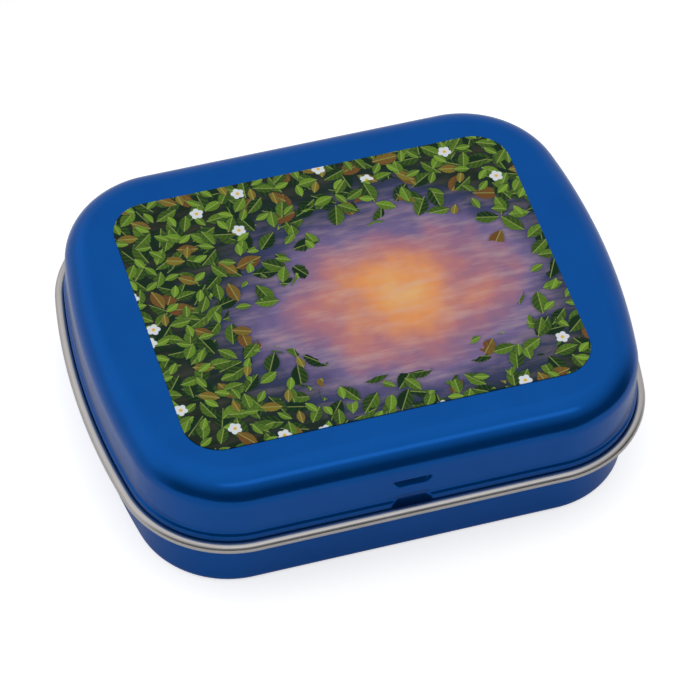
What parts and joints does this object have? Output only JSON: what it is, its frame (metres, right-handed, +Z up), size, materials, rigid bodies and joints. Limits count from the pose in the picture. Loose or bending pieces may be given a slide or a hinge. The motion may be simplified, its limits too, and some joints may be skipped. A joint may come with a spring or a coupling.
{
  "type": "mint tin",
  "caption": "Shallow pocket tin, rounded rectangle in plan, with a drawn base, a hinged lid with a rolled bright edge, a thumb catch and a printed label.",
  "frame": {"origin": "on the table under the middle of the tin", "axes": "+X along the tin's length, +Y towards the hinge, +Z up"},
  "size_m": [0.06, 0.048, 0.0169],
  "materials": {
    "blue_lacquer": "glossy lacquer on the outside, bare tinplate inside and on the rolled edge",
    "bare_tin": "satin tinplate",
    "printed_label": "printed film with a soft gloss"
  },
  "bodies": {
    "base": {"base": "blue_lacquer"},
    "lid": {"lid": "blue_lacquer", "lid_label": "printed_label"}
  },
  "joints": [
    {"name": "lid_hinge", "type": "hinge", "parent": "base", "child": "lid", "pos_m": [0, 0.02184, 0.00664], "axis": [-1, 0, 0], "range_deg": [0, 105]}
  ]
}
